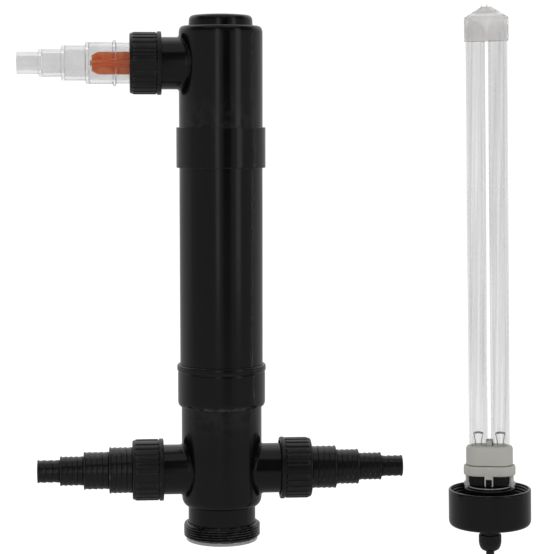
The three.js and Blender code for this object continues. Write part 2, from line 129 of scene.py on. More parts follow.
def spread(tree, fac, low, high, start=0.3, end=0.7):
    """The noise value spread over a range of numbers."""
    made = node(tree, "ShaderNodeMapRange")
    made.inputs["From Min"].default_value = start
    made.inputs["From Max"].default_value = end
    made.inputs["To Min"].default_value = low
    made.inputs["To Max"].default_value = high
    tree.links.new(fac, made.inputs["Value"])
    return made.outputs["Result"]


def blend(tree, fac, a, b):
    made = node(tree, "ShaderNodeMix", data_type="RGBA")
    tree.links.new(fac, made.inputs["Factor"])
    for socket, value in ((made.inputs[6], a), (made.inputs[7], b)):
        if isinstance(value, tuple):
            socket.default_value = (*value, 1)
        else:
            tree.links.new(value, socket)
    return made.outputs[2]


def mirrored(tree):
    """1 for a ray that some gloss reflected, and 0 for one that is seen direct or through glass."""
    path = node(tree, "ShaderNodeLightPath")
    clear = node(tree, "ShaderNodeMath", operation="SUBTRACT", use_clamp=True)
    tree.links.new(path.outputs["Is Glossy Ray"], clear.inputs[0])
    tree.links.new(path.outputs["Is Transmission Ray"], clear.inputs[1])
    return clear.outputs[0]


def material(name, color, rough, vary=0.2, grain=900, bump=0.04, edge_wear_and_highlight=None, streak=(1, 1, 1),
             sockets=None, patch=22):
    """A surface with patches of colour, uneven gloss, fine grain, and edges painted lighter: partly rubbed
    wear, partly a painted edge highlight.
    """
    made = bpy.data.materials.new(name)
    made.use_nodes = True
    tree = made.node_tree
    shader = tree.nodes["Principled BSDF"]
    for key, value in (sockets or {}).items():
        shader.inputs[key].default_value = value
    patches = spread(tree, noise(tree, patch, 5, streak), 0, 1)
    dark = tuple(c * (1 - vary) for c in color)
    pale = tuple(min(1, c * (1 + vary)) for c in color)
    tone = blend(tree, patches, dark, pale)
    # Edges lighter where pointiness is high: partly rubbed wear, partly a painted edge highlight.
    if edge_wear_and_highlight:
        geometry = node(tree, "ShaderNodeNewGeometry")
        edges = spread(tree, geometry.outputs["Pointiness"], 0, 0.8, 0.515, 0.56)
        worn_and_highlit_edges = node(tree, "ShaderNodeMath", operation="MULTIPLY")
        tree.links.new(edges, worn_and_highlit_edges.inputs[0])
        tree.links.new(spread(tree, noise(tree, 160, 6), 0, 1, 0.4, 0.6), worn_and_highlit_edges.inputs[1])
        tone = blend(tree, worn_and_highlit_edges.outputs[0], tone, edge_wear_and_highlight)
    tree.links.new(tone, shader.inputs["Base Color"])
    gloss = spread(tree, noise(tree, 75, 8, streak, 0.4), rough[0], rough[1])
    tree.links.new(gloss, shader.inputs["Roughness"])
    relief = node(tree, "ShaderNodeBump")
    relief.inputs["Strength"].default_value = bump
    relief.inputs["Distance"].default_value = 0.0006
    tree.links.new(noise(tree, grain, 3, streak), relief.inputs["Height"])
    tree.links.new(relief.outputs["Normal"], shader.inputs["Normal"])
    return made


# The last colour given to each of these is its lighter edge colour: partly rubbed wear, partly a painted
# edge highlight.
PVC = material("black_pvc", (0.0018, 0.0018, 0.002), (0.14, 0.2), 0.15, 420, 0.03, (0.05, 0.05, 0.051))
TAIL_BLACK = material("tail_black", (0.004, 0.004, 0.0042), (0.17, 0.27), 0.2, 700, 0.05,
                      (0.06, 0.06, 0.06))
RIBBED = material("ribbed_black", (0.0025, 0.0025, 0.0027), (0.27, 0.38), 0.2, 900, 0.06,
                  (0.045, 0.045, 0.045))
THREAD = material("thread_black", (0.003, 0.003, 0.0032), (0.2, 0.3), 0.2, 900, 0.06, (0.06, 0.06, 0.06))
RUBBER = material("black_rubber", (0.006, 0.006, 0.006), (0.5, 0.66), 0.3, 1500, 0.12)
SHEATH = material("cable_sheath", (0.008, 0.008, 0.008), (0.36, 0.5), 0.3, 1300, 0.1)
GREY = material("grey_ring", (0.5, 0.505, 0.515), (0.08, 0.16), 0.08, 500, 0.03, (0.7, 0.7, 0.7),
                sockets={"Metallic": 0.7, "Coat Weight": 0.5, "Coat Roughness": 0.05})
STEEL = material("plated_steel", (0.3, 0.3, 0.31), (0.2, 0.34), 0.12, 1200, 0.05,
                 sockets={"Metallic": 1.0})
WHITE = material("white_plastic", (0.4, 0.39, 0.355), (0.34, 0.48), 0.05, 800, 0.05, (0.5, 0.49, 0.46))
ORANGE = material("orange_plastic", (0.95, 0.13, 0.003), (0.3, 0.42), 0.08, 600, 0.03,
                  (0.95, 0.3, 0.05), (1, 1, 1), {"Specular IOR Level": 0.25})
QUARTZ = material("quartz", (0.81, 0.81, 0.81), (0.0, 0.02), 0.13, 90, 0.04, None, (1, 1, 0.02),
                  {"Transmission Weight": 1.0, "IOR": 1.45}, 330)
CLEAR = material("clear_plastic", (0.75, 0.75, 0.75), (0.05, 0.12), 0.05, 240, 0.05, None, (1, 1, 1),
                 {"Transmission Weight": 1.0, "IOR": 1.42}, 60)
FROST = material("frosted_cap", (0.88, 0.87, 0.865), (0.16, 0.28), 0.05, 500, 0.05, None, (1, 1, 1),
                 {"Transmission Weight": 0.7, "IOR": 1.35}, 60)


# ---- meshes ----
def soften(points, loop=False, steps=4):
    """Rounds each corner (r, z, size) of a profile."""
    made = []
    count = len(points)
    for i, point in enumerate(points):
        size = point[2] if len(point) > 2 else 0
        here = Vector(point[:2])
        if size <= 0 or (not loop and i in (0, count - 1)):
            made.append(tuple(here))
            continue
        before = Vector(points[i - 1][:2])
        after = Vector(points[(i + 1) % count][:2])
        back = (before - here).normalized() * min(size, (before - here).length * 0.49)
        on = (after - here).normalized() * min(size, (after - here).length * 0.49)
        for k in range(steps + 1):
            t = k / steps
            made.append(tuple(here + back * (1 - t) ** 2 + on * t**2))
    return supported(made, loop)


def supported(points, loop):
    """Rows close to the ends of each long straight, so that shading stays at the edges."""
    made = []
    count = len(points)
    for i, point in enumerate(points):
        made.append(point)
        if i == count - 1 and not loop:
            break
        a, b = Vector(point), Vector(points[(i + 1) % count])
        gap = (b - a).length
        if gap > 5:
            made.append(tuple(a.lerp(b, 1.2 / gap)))
            made.append(tuple(b.lerp(a, 1.2 / gap)))
    return made


def directions(segments, half):
    """The points round a section as (shift in x, cos, sin): a circle, or a round-ended slot."""
    if not half:
        return [(0, math.cos(TAU * k / segments), math.sin(TAU * k / segments)) for k in range(segments)]
    count = segments // 2
    made = []
    for side in (1, -1):
        for k in range(count + 1):
            a = math.pi * (k / count - 0.5) + (0 if side == 1 else math.pi)
            made.append((side * half, math.cos(a), math.sin(a)))
    return made


def revolved(points, segments=96, loop=False, warp=None, half=0):
    """Vertices and faces of a profile taken round +Z. warp(r, z, angle) gives the radius there."""
    around = directions(segments, half)
    count = len(around)
    verts = []
    rings = []
    for r, z in points:
        if r < 1e-6 and not half:
            rings.append([len(verts)] * count)
            verts.append((0, 0, z))
            continue
        rings.append(list(range(len(verts), len(verts) + count)))
        for shift, c, s in around:
            here = warp(r, z, math.atan2(s, c)) if warp else r
            verts.append((shift + here * c, here * s, z))
    faces = []
    pairs = list(zip(rings, rings[1:])) + ([(rings[-1], rings[0])] if loop else [])
    for a, b in pairs:
        for k in range(count):
            n = (k + 1) % count
            face = [a[k], a[n], b[n], b[k]]
            clean = [v for i, v in enumerate(face) if v not in face[:i]]
            if len(clean) > 2:
                faces.append(clean)
    if not loop:
        for cap in (rings[0], rings[-1]):
            if cap[0] != cap[1]:
                faces.append(cap)
    return verts, faces


def piece(name, shape, skin, body, place=REACTOR, nodes=(), sharp=32):
    """A named piece on a body, standing for its CAD nodes."""
    verts, faces = shape
    mesh = bpy.data.meshes.new(name)
    mesh.from_pydata([place @ Vector(v) for v in verts], [], faces)
    tidy = bmesh.new()
    tidy.from_mesh(mesh)
    bmesh.ops.remove_doubles(tidy, verts=tidy.verts, dist=1e-6)
    bmesh.ops.recalc_face_normals(tidy, faces=tidy.faces)
    tidy.to_mesh(mesh)
    tidy.free()
    mesh.shade_smooth()
    mesh.set_sharp_from_angle(angle=math.radians(sharp))
    mesh.materials.append(skin)
    made = bpy.data.objects.new(name, mesh)
    bpy.context.scene.collection.objects.link(made)
    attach(made, body)
    if nodes:
        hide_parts(*nodes)
    return made


def both(*shapes):
    """Several shapes as one."""
    verts, faces = [], []
    for v, f in shapes:
        start = len(verts)
        verts += list(v)
        faces += [[i + start for i in face] for face in f]
    return verts, faces


def slab(size, centre, bevel=0.6, turn=0.0):
    """A block with rounded edges, as vertices and faces."""
    made = bmesh.new()
    bmesh.ops.create_cube(made, size=1)
    bmesh.ops.scale(made, vec=size, verts=made.verts)
    bmesh.ops.bevel(made, geom=list(made.edges), offset=bevel, segments=3, profile=0.5, affect="EDGES")
    spin = Matrix.Rotation(turn, 3, "Z")
    verts = [tuple(spin @ v.co + Vector(centre)) for v in made.verts]
    faces = [[v.index for v in f.verts] for f in made.faces]
    made.free()
    return verts, faces


def swept(points, radius, segments=20, closed=False):
    """A round tube along points."""
    line = [Vector(p) for p in points]
    count = len(line)
    verts, faces, rings = [], [], []
    normal = None
    for i, here in enumerate(line):
        before = line[i - 1] if closed or i else here
        after = line[(i + 1) % count] if closed or i < count - 1 else here
        way = (after - before).normalized()
        if normal is None:
            normal = way.orthogonal().normalized()
        normal = (normal - way * normal.dot(way)).normalized()
        side = way.cross(normal)
        rings.append(list(range(len(verts), len(verts) + segments)))
        for k in range(segments):
            a = TAU * k / segments
            verts.append(tuple(here + (normal * math.cos(a) + side * math.sin(a)) * radius))
    for a, b in list(zip(rings, rings[1:])) + ([(rings[-1], rings[0])] if closed else []):
        for k in range(segments):
            n = (k + 1) % segments
            faces.append([a[k], a[n], b[n], b[k]])
    if not closed:
        faces += [rings[0], rings[-1]]
    return verts, faces


def smooth(points, steps=6):
    """A Catmull-Rom line through points."""
    line = [Vector(p) for p in points]
    made = []
    for i in range(len(line) - 1):
        a = line[max(i - 1, 0)]
        b, c = line[i], line[i + 1]
        d = line[min(i + 2, len(line) - 1)]
        for k in range(steps):
            t = k / steps
            made.append(0.5 * (2 * b + (c - a) * t + (2 * a - 5 * b + 4 * c - d) * t**2
                               + (3 * b - 3 * c + d - a) * t**3))
    return made + [line[-1]]


# ---- the cable ----
CABLE_R = 3.8
ROUTE = [
    (0, 0, 14), (0, 0, 8), (0, 0, 2), (0, 0, -4), (0, 0, -10), (0, 0, -16), (0, 0, -22),
    (0, 0, -28), (0, 0, -33), (-0.2, 0, -38), (-0.8, 0, -43), (-1.9, 0.1, -47.5),
    (-3.6, 0.2, -51.8), (-5.9, 0.3, -55.8), (-8.2, 0.4, -59),
]
FOLD = 23
HANK_TOP, HANK_FOOT = -89, -179
TURNS, HANK_PITCH, HANK_FRONT = 4, 8.2, 1.5
TAIL_FOOT = -210


def hank_line():
    """The folded turns: down the left, round the foot, up the right and over the top."""
    straight = HANK_TOP - HANK_FOOT
    lap = 2 * straight + TAU * FOLD
    made = []
    start = math.radians(52) * FOLD
    whole = TURNS * lap + start
    for i in range(TURNS * 28 + 5):
        way = -start + whole * i / (TURNS * 28 + 4)
        y = HANK_FRONT + HANK_PITCH * max(0, way) / lap
        along = way % lap
        if along < straight:
            made.append((-FOLD, y, HANK_TOP - along))
        elif along < straight + math.pi * FOLD:
            a = (along - straight) / FOLD
            made.append((-FOLD * math.cos(a), y, HANK_FOOT - FOLD * math.sin(a)))
        elif along < 2 * straight + math.pi * FOLD:
            made.append((FOLD, y, HANK_FOOT + along - straight - math.pi * FOLD))
        else:
            a = (along - 2 * straight - math.pi * FOLD) / FOLD
            made.append((FOLD * math.cos(a), y, HANK_TOP + FOLD * math.sin(a)))
    return made


# The last lap ends at the top of the left side, and the tail runs on down to the connector.
end_y = HANK_FRONT + HANK_PITCH * TURNS
tail = [(-FOLD, end_y, HANK_TOP - 20 * k) for k in range(1, 6)]
tail += [(-FOLD, end_y, z) for z in (-199, TAIL_FOOT)]
cable_path = [UNIT @ p for p in smooth(ROUTE + hank_line() + tail, 3)]
cable_length = sum((b - a).length for a, b in zip(cable_path, cable_path[1:]))
cable = piece("cable_run", swept([(UNIT.inverted() @ p) for p in cable_path], CABLE_R, 20), SHEATH,
              "lamp_unit", UNIT, ("cable", "cable_hank", "cable_tail"), 50)

hank_y = HANK_FRONT + HANK_PITCH * TURNS / 2
half_y = HANK_PITCH * TURNS / 2 + CABLE_R


def strap(width, depth, wall, low, high):
    """A flat band round the hank."""
    line = []
    for k in range(48):
        a = TAU * k / 48
        c, s = math.cos(a), math.sin(a)
        power = 0.22
        line.append((math.copysign(abs(c) ** power, c) * width,
                     math.copysign(abs(s) ** power, s) * depth))
    verts, faces = [], []
    for scale, z in ((0, low), (wall, low), (wall, high), (0, high)):
        for x, y in line:
            grow = 1 + scale / width
            verts.append((x * grow, y * (1 + scale / depth), z))
    for ring in range(4):
        for k in range(48):
            n = (k + 1) % 48
            a, b = ring * 48, ((ring + 1) % 4) * 48
            faces.append([a + k, a + n, b + n, b + k])
    return verts, faces


HANK_PLACE = UNIT @ Matrix.Translation((0, hank_y, 0))
tie = piece("hank_tie", both(strap(FOLD + CABLE_R + 0.2, half_y + 0.2, 1.2, -139, -129),
                             slab((9, 2.2, 9), (6, -half_y - 1.1, -134), 0.6)),
            RUBBER, "lamp_unit", HANK_PLACE, ("cable_tie",))

END = UNIT @ Matrix.Translation((-FOLD, end_y, 0))
boot_profile = [(0, -233), (6.6, -233, 0.6), (6.5, -229, 0.4)]
for k in range(5):
    z = -227.5 + 3.3 * k
    r = 6.3 - 0.28 * k
    boot_profile += [(r - 0.7, z, 0.2), (r - 0.7, z + 0.9, 0.2), (r, z + 1.1, 0.2), (r, z + 3.0, 0.2)]
boot_profile += [(4.5, -210.5, 0.4), (0, -210.5)]
boot = piece("connector_boot_detail", revolved(soften(boot_profile), 48), RUBBER, "lamp_unit", END,
             ("connector_boot",))
plug_profile = [(0, -250), (5.6, -250, 0.2), (5.6, -262, 0.3), (7.2, -262, 0.4), (8, -261.2, 0.4),
                (8, -252, 0.3), (7.5, -251.6, 0.2), (7.5, -250.6, 0.2), (8, -250.2, 0.3), (8, -236, 0.6),
                (7.2, -233.4, 0.6), (0, -233.4)]


def plug_ribs(r, z, angle):
    grip = -249.5 < z < -236.5 and r > 7.6
    return r - (0.45 * max(0, math.cos(18 * angle)) if grip else 0)


plug_points = soften(plug_profile)
connector = piece("connector_detail", revolved(plug_points, 144, False, plug_ribs), PVC, "lamp_unit", END,
                  ("cable_connector",))
tuple(UNIT @ Vector(ROUTE[0]))
[tuple(p) for p in cable_path]


# ---- reactor ----
def port_shape(r, body_r):
    """A port: a fillet onto the round body, the tube, the threaded collar's end and the bore."""
    fillet = 2.2
    count = 96
    verts, faces, rings = [], [], []

    def on_body(reach, a):
        y = reach * math.sin(a)
        return math.sqrt(max(0, body_r**2 - y * y))

    def ring(at):
        rings.append(list(range(len(verts), len(verts) + count)))
        for k in range(count):
            a = TAU * k / count
            verts.append(at(a))

    ring(lambda a: ((r + fillet) * math.cos(a), (r + fillet) * math.sin(a), on_body(r + fillet, a) - 2))
    for step in range(7):
        t = step / 6

        def curve(a, t=t):
            start = Vector((r + fillet, on_body(r + fillet, a)))
            corner = Vector((r, on_body(r, a)))
            end = corner + Vector((0, fillet))
            p = start * (1 - t) ** 2 + corner * 2 * t * (1 - t) + end * t * t
            return (p.x * math.cos(a), p.x * math.sin(a), p.y)

        ring(curve)
    for reach, z in soften([(r, 50), (r, 57.5, 0.8), (24.9, 57.5, 0.8), (24.9, 70, 0.8), (18, 70, 0.8),
                            (18, 28)]):
        ring(lambda a, reach=reach, z=z: (reach * math.cos(a), reach * math.sin(a), z))
    for a, b in zip(rings, rings[1:] + rings[:1]):
        for k in range(count):
            n = (k + 1) % count
            faces.append([a[k], a[n], b[n], b[k]])
    return verts, faces


def moved(shape, matrix):
    verts, faces = shape
    return [tuple(matrix @ Vector(v)) for v in verts], faces


def make_reactor():
    pipe = soften([(34, 142.6, 1), (37.5, 142.6, 1), (37.5, 358, 1), (34, 358, 1)], True)
    piece("pipe_wall", revolved(pipe, 128, True), PVC, "housing", nodes=("reactor_pipe",))

    low = [
        (36.7, 124.2), (38.0, 124.4), (39.0, 125.5), (39.5, 127.0), (39.65, 128.8), (39.65, 154.8, 0.8),
        (39.35, 155.3, 0.3),
        (39.35, 155.9, 0.3), (40.3, 156.9, 1.0), (40.3, 161.2, 0.9), (39.5, 162.3, 0.6),
        (37.55, 162.3, 0.3), (37.55, 142.3), (36.7, 142.3),
    ]
    piece("lower_coupling_body", revolved(soften(low, True), 128, True), PVC, "housing",
          nodes=("lower_coupling",))
    top = [
        (37.65, 340.4, 0.2), (40.15, 340.4, 0.5), (40.15, 376.6, 0.5), (37.9, 376.6, 0.3),
        (37.65, 376.2, 0.2), (37.65, 360),
    ]
    piece("upper_coupling_body", revolved(soften(top, True), 128, True), PVC, "housing",
          nodes=("upper_coupling",))

    cross = [
        (28, 3.6, 0.5), (30.6, 3.6, 0.5), (30.6, 32.3, 0.2),
        *((31 + 5.4 * math.sin(a), 40.8 - 8.4 * math.cos(a))
          for a in [math.pi * k / 20 for k in range(11)]),
        (36.4, 142), (32.4, 142), (32.4, 45, 4), (28, 36.4, 4),
    ]
    body = revolved(soften(cross, True, 7), 128, True)
    arms = [moved(port_shape(22.65, 36.4), REACTOR.inverted() @ place) for place in (LEFT, RIGHT)]
    piece("lower_cross_body", both(body, *arms), PVC, "housing", nodes=("lower_cross",))

    tee = [
        (33.5, 359), (37.6, 359), (37.6, 466.9, 7.2), (29.05, 466.9, 0.7), (29.05, 459.9), (33.5, 457.9),
    ]
    body = revolved(soften(tee, True, 8), 128, True)
    arm = moved(port_shape(23.35, 37.6), REACTOR.inverted() @ UPPER)
    piece("upper_tee_body", both(body, arm), PVC, "housing", nodes=("upper_tee",))

    plug = [
        (0, 473.6), (26.4, 473.6, 1.5), (26.4, 452, 0.4), (28.75, 452, 0.4), (28.75, 467.2, 0.3),
        (28.2, 476.2, 4.2), (14, 477.4, 3), (0, 477.5),
    ]
    piece("top_plug_body", revolved(soften(plug, False, 6), 112), PVC, "housing", nodes=("top_plug",))


def thread_height(z, angle, pitch):
    """0 to 1 across one turn of a rounded screw thread."""
    phase = (z / pitch - angle / TAU) % 1
    return 0.5 - 0.5 * math.cos(TAU * phase)


def make_neck():
    inside = 30.95
    pitch = 2.25
    rows = [(inside, 3.6), (33.0, 3.6), (33.5, 3.9)]
    rows += [(33.55, 4.0 + 0.2 * k) for k in range(59)]
    rows += [(33.3, 16.0), (32.6, 16.5), (inside, 16.5)]

    def warp(r, z, angle):
        fade = min(1, max(0, (z - 3.9) / 0.9), max(0, (16.1 - z) / 0.9))
        return r + 1.3 * fade * thread_height(z, angle, pitch) if r > 33.4 else r

    piece("neck_thread", revolved(rows, 160, True, warp), THREAD, "housing",
          nodes=("neck_thread_collar",), sharp=50)
    ring = [(24.2, 0.4, 0.4), (25, 0, 0.4), (31.9, 0, 0.7), (32.6, 0.7, 0.6), (32.6, 3.3, 0.5),
            (24.2, 3.3, 0.3)]
    piece("retaining_ring", revolved(soften(ring, True), 128, True), GREY, "sleeve",
          nodes=("sleeve_retaining_ring",))
    r, bore, dome = 25.3, 23.9, 447.7
    outer = [(r * math.cos(a), dome + r * math.sin(a)) for a in [math.pi * k / 32 for k in range(17)]]
    outer[-1] = (0, dome + r)
    inner = [(bore * math.cos(a), dome + bore * math.sin(a)) for a in [math.pi * k / 32 for k in range(17)]]
    inner[-1] = (0, dome + bore)
    wall = list(reversed(inner)) + [(bore, 3.6), (r, 3.6)] + outer
    piece("sleeve_glass", revolved(wall, 96), QUARTZ, "sleeve", nodes=("quartz_sleeve",))
    seal = [(r + 0.2 + 1.15 * (1 + math.cos(a)),
             7.1 + 1.1 * math.sin(a)) for a in [TAU * k / 12 for k in range(12)]]
    piece("sleeve_seal", revolved(seal, 64, True), RUBBER, "housing", nodes=("sleeve_o_ring",))


# ---- unions ----
RIBS = 28


def rib_height(angle):
    """The grip ribs of a union nut, with a smooth flat after each group of six."""
    turn = (angle / TAU * RIBS) % RIBS
    if int(turn) % 7 == 6:
        return 0
    across = abs(turn % 1 - 0.5)
    return min(1, max(0, (0.36 - across) / 0.12))


def make_nut(name, body, place, node_name):
    profile = [
        (25.3, 53.2, 0.5), (27.7, 53.2, 0.4), (28.3, 53.8, 0.4), (28.3, 56.6, 0.4), (27.9, 57.1, 0.3),
        (27.0, 57.3, 0.2), (27.0, 58.4),
    ]
    profile += [(27.0, 58.4 + 1.0 * k) for k in range(1, 19)]
    profile += [
        (27.0, 77.6), (27.0, 78.6), (27.05, 79.4, 0.2), (26.9, 80.6, 0.5), (25.9, 81.5, 0.5),
        (21.6, 81.5, 0.5), (21.6, 76.9, 0.3), (25.3, 76.9),
    ]

    def warp(r, z, angle):
        if abs(r - 27.0) > 0.02 or not 57.6 < z < 79.6:
            return r
        fade = min(1, (z - 57.6) / 0.8, max(0, (79.2 - z) / 0.9))
        return r + 0.9 * max(0, fade) * rib_height(angle)

    shape = revolved(soften(profile, True, 3), 336, True, warp)
    piece(name, shape, RIBBED, body, place, (node_name,), 40)


def step_profile(start, end, r, barbs, depth=0.75):
    """One step of a hosetail: sharp barbs that slope outwards, and a lip at the end."""
    made = []
    pitch = (end - 2.2 - start) / barbs
    for k in range(barbs):
        z = start + k * pitch
        made += [(r - depth, z + 0.15, 0.15), (r - 0.05, z + 0.75, 0.2),
                 (r - depth, z + pitch - 0.1, 0.15)]
    made += [(r - depth, end - 2.2, 0.2), (r, end - 1.7, 0.3), (r, end - 0.3, 0.35)]
    return made


def make_tail(name, steps, skin, body, place, node_name, barbs, depth, rib=None):
    outer = [(23.7, 72.6, 0.4), (23.7, 76.6, 0.4)]
    start = 76.6
    for i, (r, end) in enumerate(steps):
        if i == 0 and rib:
            outer += [(r - depth, 76.6, 0.4), (r - depth, rib[1], 0.3), (rib[0], rib[1] + 0.3, 0.6),
                      (rib[0], rib[2] - 0.3, 0.6), (r - depth, rib[2], 0.4)]
            start = rib[2] + 0.4
        count = barbs[i]
        outer += step_profile(start, end, r, count, depth) if count else [(r, start + 0.2, 0.2),
                                                                          (r, end - 0.2, 0.5)]
        start = end
    inner = []
    wall = 3
    for i, (r, end) in enumerate(steps):
        start = 72.6 if i == 0 else steps[i - 1][1] - wall
        last = i == len(steps) - 1
        inner += [(r - wall, start, 0.6), (r - wall, end if last else end - wall, 0.6)]
    shape = revolved(soften(outer + inner[::-1], True, 3), 112, True)
    piece(name, shape, skin, body, place, (node_name,), 30)


def make_unions():
    left = [(21.0, 102.7), (17.1, 125.8), (13.4, 147.2), (10.45, 167.6)]
    right = [(19.5, 104.6), (16.0, 125.5), (12.6, 146.6), (9.7, 166.5)]
    clear = [(18.45, 120.5), (15.4, 142), (12.1, 162.1), (9.75, 181.5)]
    make_tail("left_tail_body", left, TAIL_BLACK, "left_tail", LEFT, "left_hosetail",
              (5, 4, 4, 3), 0.65)
    make_tail("right_tail_body", right, TAIL_BLACK, "right_tail", RIGHT, "right_hosetail",
              (5, 4, 4, 3), 0.65)
    make_tail("clear_tail_body", clear, CLEAR, "upper_tail", UPPER, "clear_hosetail",
              (0, 0, 0, 0), 0.35, (20.4, 93.5, 96.5))
    for side, place in (("left", LEFT), ("right", RIGHT), ("upper", UPPER)):
        make_nut(side + "_nut_body", side + "_nut", place, side + "_union_nut")
        seal = [(18.6, 70.3, 0.3), (23.4, 70.3, 0.6), (23.4, 72.3, 0.6), (18.6, 72.3, 0.3)]
        piece(side + "_seal_ring", revolved(soften(seal, True), 64, True), RUBBER, "housing", place,
              (side + "_union_seal",))


def make_indicator():
    low, high, r, twist = 77.2, 115.2, 10.1, 0.15
    vane = 1.6
    rows = 20
    shapes = [revolved(soften([(1.9, low, 0.3), (3.4, low, 0.3), (3.4, high, 0.5), (1.9, high, 0.3)],
                              True), 32, True)]
    for arm in range(4):
        verts, faces = [], []
        for k in range(rows + 1):
            z = low + (high - low) * k / rows
            reach = min(r, r - max(0, z - high + 5.8) * 0.56)
            a = twist * (z - low) / (high - low) + arm * math.pi / 2
            for d, w in ((2.5, -vane / 2), (reach, -vane / 2), (reach, vane / 2), (2.5, vane / 2)):
                verts.append((d * math.cos(a) - w * math.sin(a), d * math.sin(a) + w * math.cos(a), z))
        for k in range(rows):
            for j in range(4):
                n = (j + 1) % 4
                faces.append([4 * k + j, 4 * k + n, 4 * k + 4 + n, 4 * k + 4 + j])
        faces += [[0, 1, 2, 3], [4 * rows + j for j in range(4)]]
        shapes.append((verts, faces))
    piece("indicator_wheel", both(*shapes), ORANGE, "indicator", UPPER, ("flow_rotor",))
    rod = [(0, 73.2), (1.5, 73.2, 0.2), (1.5, 115.5), (2.6, 115.5, 0.2), (2.6, 117.2, 0.6), (0, 117.2)]
    piece("indicator_pin", revolved(soften(rod), 32), STEEL, "upper_tail", UPPER, ("indicator_axle",))
    rim = revolved(soften([(13.4, 73, 0.4), (15.1, 73, 0.4), (15.1, 76.6, 0.4), (13.4, 76.6, 0.4)],
                          True), 64, True)
    hub = revolved(soften([(1.8, 73, 0.3), (3.6, 73, 0.4), (3.6, 76.6, 0.4), (1.8, 76.6, 0.3)], True),
                   32, True)
    spokes = []
    for k in range(3):
        a = TAU * k / 3
        spokes.append(slab((11, 1.6, 3.4), (8.3 * math.cos(a), 8.3 * math.sin(a), 74.8), 0.3, a))
    piece("indicator_frame", both(rim, hub, *spokes), CLEAR, "upper_tail", UPPER, ("indicator_spider",))


# ---- lamp unit ----
def make_cap():
    outer = [
        (8.4, 11.9, 0.5), (33.2, 11.9, 1.2), (36.3, 13.2, 1.6), (37.65, 16.3, 2.2), (37.65, 45.4, 0.6),
        (36.9, 46.3, 0.5), (35.4, 46.3, 0.4),
    ]
    rows = soften(outer)[:-1] + [(35.35, 46.2)]
    top, foot = 45.0, 30.0
    rows += [(35.3, top - 0.3 * k) for k in range(int((top - foot) / 0.3) + 1)]
    rows += [(35.4, 29), (35.4, 17.3), (34.4, 16.3), (8.4, 16.3)]

    def warp(r, z, angle):
        if abs(r - 35.3) > 0.02:
            return r
        fade = min(1, max(0, (top - z) / 1.2), max(0, (z - foot) / 1.2))
        return r - 0.85 * fade * thread_height(z, angle, 3.0)

    piece("screw_cap_body", revolved(rows, 160, True, warp), PVC, "cap", UNIT, ("screw_cap",), sharp=40)
    seal = [(24.4, 16.6, 0.3), (34, 16.6, 0.6), (34, 18.4, 0.6), (24.4, 18.4, 0.3)]
    piece("cap_seal_ring", revolved(soften(seal, True), 80, True), RUBBER, "cap", UNIT, ("cap_seal",))


def make_seat():
    seat = [
        (4.5, 11.9, 0.2), (8, 11.9, 0.3), (8, 16.6, 0.3), (22.9, 16.6, 0.5), (22.9, 33.4, 0.3),
        (21.2, 33.4, 0.2), (21.2, 37.2, 0.2), (22.9, 37.2, 0.3), (22.9, 47.6, 0.7), (4.5, 47.6, 0.3),
    ]
    piece("seat_body", revolved(soften(seat, True), 96, True), PVC, "lamp_unit", UNIT, ("lamp_seat",))
    seal = [(22.5 + 1.0 * math.cos(a), 35.3 + 1.6 * math.sin(a)) for a in [TAU * k / 14 for k in range(14)]]
    piece("seat_seal", revolved(seal, 80, True), RUBBER, "lamp_unit", UNIT, ("seat_o_ring",))
    disc = [(5, 47.9, 0.2), (20, 47.9, 0.3), (20, 48.6, 0.2), (19, 48.6), (19, 49.2, 0.2), (5, 49.2, 0.2)]
    piece("seat_disc_plate", revolved(soften(disc, True), 96, True), PVC, "lamp_unit", UNIT,
          ("seat_disc",))
    # A pale grey ring on the black disc's rim: a painted highlight along the rim edge.
    rim = [(19.05, 48.65, 0.1), (20.2, 48.65, 0.2), (20.2, 49.6, 0.3), (19.05, 49.6, 0.3)]
    piece("seat_disc_highlight_ring", revolved(soften(rim, True), 96, True), GREY, "lamp_unit", UNIT, ())


def slot_shape(half, points, segments=72, loop=False, steps=4):
    return revolved(soften(points, loop, steps), segments, loop, None, half)


def arc_block(half, inner, outer, low, high, reach, side):
    """A curved leg on a round end of the holder, reach in degrees each way."""
    verts, faces = [], []
    steps = 14
    for k in range(steps + 1):
        a = math.radians(-reach + 2 * reach * k / steps) + (0 if side > 0 else math.pi)
        for r, z in ((inner, low), (outer, low), (outer, high), (inner, high)):
            verts.append((side * half + r * math.cos(a), r * math.sin(a), z))
    for k in range(steps):
        for j in range(4):
            n = (j + 1) % 4
            faces.append([4 * k + j, 4 * k + n, 4 * k + 4 + n, 4 * k + 4 + j])
    faces += [[0, 1, 2, 3], [4 * steps + j for j in range(4)]]
    return verts, faces


def make_holder():
    half = 9.85
    collar = [(10.2, 59.3, 0.4), (13.2, 59.3, 0.6), (13.8, 60.1, 0.5), (13.8, 67.3, 0.9),
              (13.0, 68.3, 0.5), (10.2, 68.3, 0.4)]
    shapes = [slot_shape(half, collar, 80, True)]
    for side in (1, -1):
        shapes.append(arc_block(half, 10.3, 12.1, 50.6, 59.7, 34, side))
        shapes.append(arc_block(half, 10.3, 13.7, 50, 52.3, 40, side))
        shapes.append(slab((7.8, 2.6, 11.3), (0, side * 12.45, 62.3), 0.4))
        for x in (-3.3, 3.3):
            shapes.append(slab((1.2, 2.4, 7.4), (x, side * 12.3, 53.8), 0.3))
    piece("lamp_holder_body", both(*shapes), WHITE, "lamp_unit", UNIT, ("lamp_holder",))
    core = [(0.5, 50.2), (9.9, 50.2, 0.5), (9.9, 66, 0.8), (0.5, 66)]
    piece("socket_core_body", slot_shape(half, core), RUBBER, "lamp_unit", UNIT, ("socket_core",))


TUBE_X, TUBE_R, TUBE_BORE, TUBE_DOME = 10, 8.6, 7.75, 464.5


